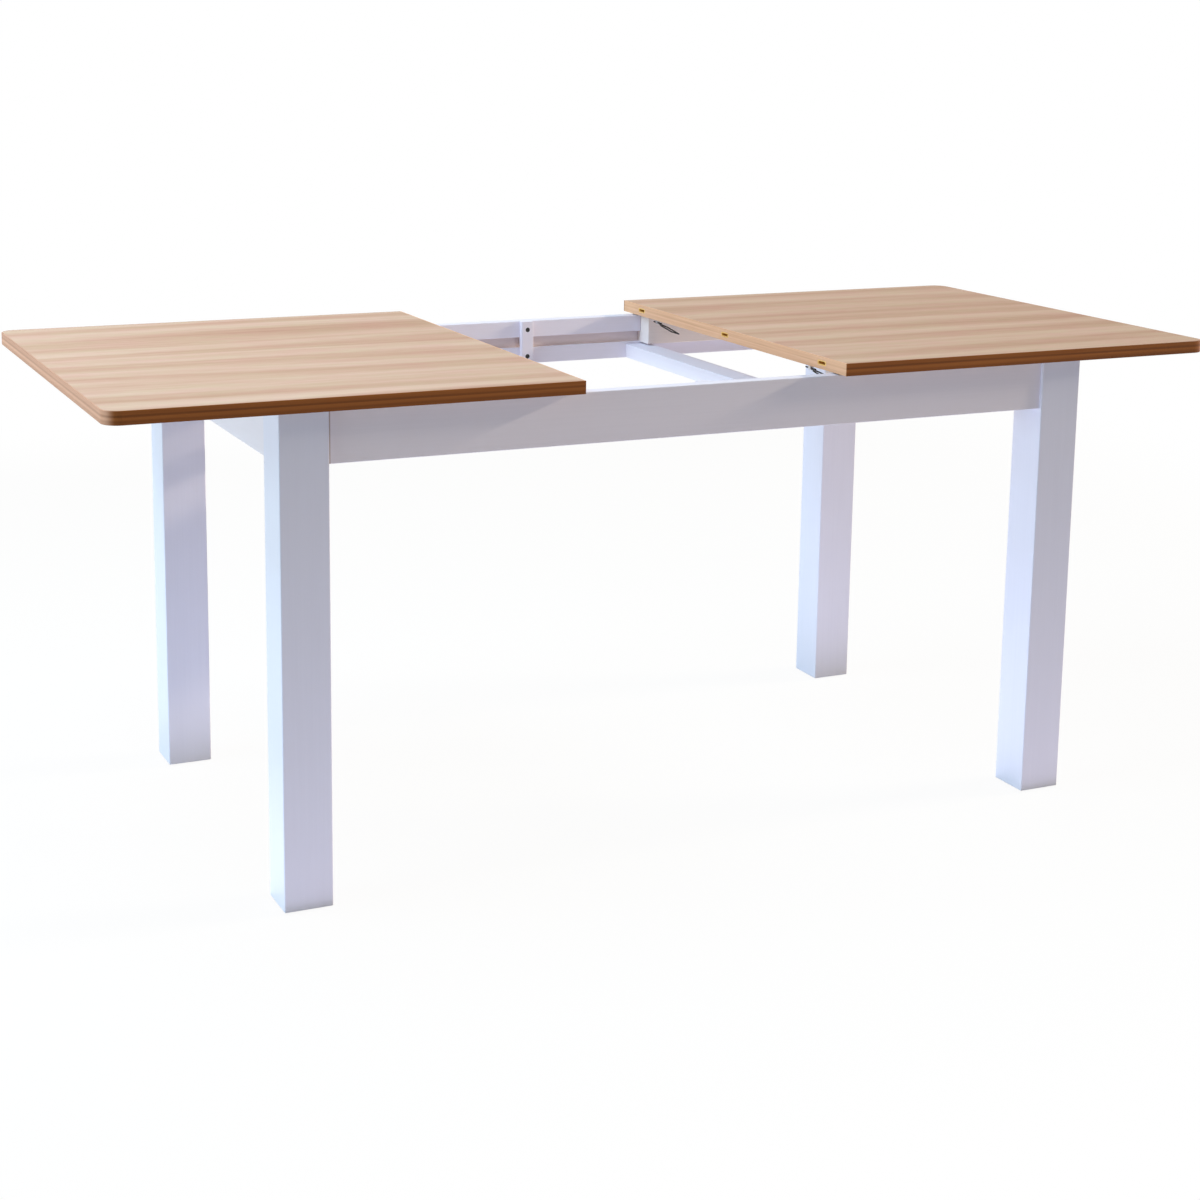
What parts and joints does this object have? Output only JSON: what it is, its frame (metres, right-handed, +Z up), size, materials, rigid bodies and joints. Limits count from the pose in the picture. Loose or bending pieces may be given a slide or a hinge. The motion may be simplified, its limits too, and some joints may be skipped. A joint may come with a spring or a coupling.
{
  "type": "butterfly leaf table",
  "caption": "Rectangular extending dining table: the top's halves slide apart on grooved aprons, with square legs, wire latches and a folded leaf stowed below.",
  "frame": {"origin": "on the floor, under the middle of the table", "axes": "+X along the table, towards the half with the latches; +Y across it, to the back; +Z up"},
  "size_m": [1.854, 0.79, 0.76],
  "materials": {
    "white_paint": "white paint with faint grain",
    "white_runner": "white paint, matt",
    "laminate": "beige wood-grain laminate",
    "edge_band": "brown edge band with fine lines",
    "bare_wood": "bare beech",
    "zinc_steel": "zinc plated",
    "dark_steel": "blackened",
    "brass": "bright",
    "pin_steel": "bright",
    "nylon": "dark grey"
  },
  "bodies": {
    "base_frame": {"leg_front_left": "white_paint", "leg_back_left": "white_paint", "leg_front_right": "white_paint", "leg_back_right": "white_paint", "glide_front_left": "nylon", "glide_back_left": "nylon", "glide_front_right": "nylon", "glide_back_right": "nylon", "long_apron_front": "white_paint", "long_apron_back": "white_paint", "end_apron_left": "white_paint", "end_apron_right": "white_paint", "cross_stretcher_left": "white_runner", "cross_stretcher_right": "white_runner", "leaf_rail_front": "bare_wood", "leaf_rail_back": "bare_wood", "stop_block_front": "white_runner", "stop_block_back": "white_runner", "corner_block_front_left": "bare_wood", "corner_block_back_left": "bare_wood", "corner_block_front_right": "bare_wood", "corner_block_back_right": "bare_wood", "rail_dowels": "bare_wood", "apron_dowels": "bare_wood", "stretcher_dowels": "bare_wood", "stop_block_screws": "dark_steel", "hanger_bolts": "zinc_steel", "bolt_washers": "zinc_steel", "bolt_nuts": "zinc_steel", "corner_block_screws": "zinc_steel"},
    "left_half": {"left_top_board": "laminate", "left_top_edge_band": "edge_band", "left_top_mating_band": "edge_band", "left_runner_front": "white_runner", "left_runner_back": "white_runner", "left_runner_screws": "zinc_steel", "left_edge_tenons": "pin_steel", "latch_catch_front": "zinc_steel", "latch_catch_back": "zinc_steel", "catch_screws": "zinc_steel"},
    "right_half": {"right_top_board": "laminate", "right_top_edge_band": "edge_band", "right_top_mating_band": "edge_band", "right_runner_front": "white_runner", "right_runner_back": "white_runner", "right_runner_screws": "zinc_steel", "right_tenon_sockets": "brass", "latch_bracket_front": "zinc_steel", "latch_bracket_back": "zinc_steel", "latch_screws": "zinc_steel"},
    "folded_leaf": {"leaf_wing_lower": "laminate", "leaf_wing_upper": "laminate", "leaf_edge_tenons": "pin_steel", "leaf_tenon_sockets": "brass", "leaf_hinge_plates_lower": "zinc_steel", "leaf_hinge_plates_upper": "zinc_steel", "leaf_hinge_pins": "zinc_steel", "leaf_hinge_screws": "zinc_steel"},
    "front_bail": {"latch_bail_front": "dark_steel"},
    "back_bail": {"latch_bail_back": "dark_steel"}
  },
  "joints": [
    {"name": "left_top_slide", "type": "slide", "parent": "base_frame", "child": "left_half", "axis": [-1, 0, 0], "range_m": [-0.2218, 0]},
    {"name": "right_top_slide", "type": "slide", "parent": "base_frame", "child": "right_half", "axis": [1, 0, 0], "range_m": [-0.2218, 0]},
    {"name": "leaf_slide", "type": "slide", "parent": "base_frame", "child": "folded_leaf", "axis": [1, 0, 0], "range_m": [0, 0.432]},
    {"name": "front_bail_hinge", "type": "hinge", "parent": "right_half", "child": "front_bail", "pos_m": [0.231, -0.272, 0.734], "axis": [0, 1, 0], "range_deg": [-15, 149]},
    {"name": "back_bail_hinge", "type": "hinge", "parent": "right_half", "child": "back_bail", "pos_m": [0.231, 0.272, 0.734], "axis": [0, 1, 0], "range_deg": [-15, 149]}
  ]
}
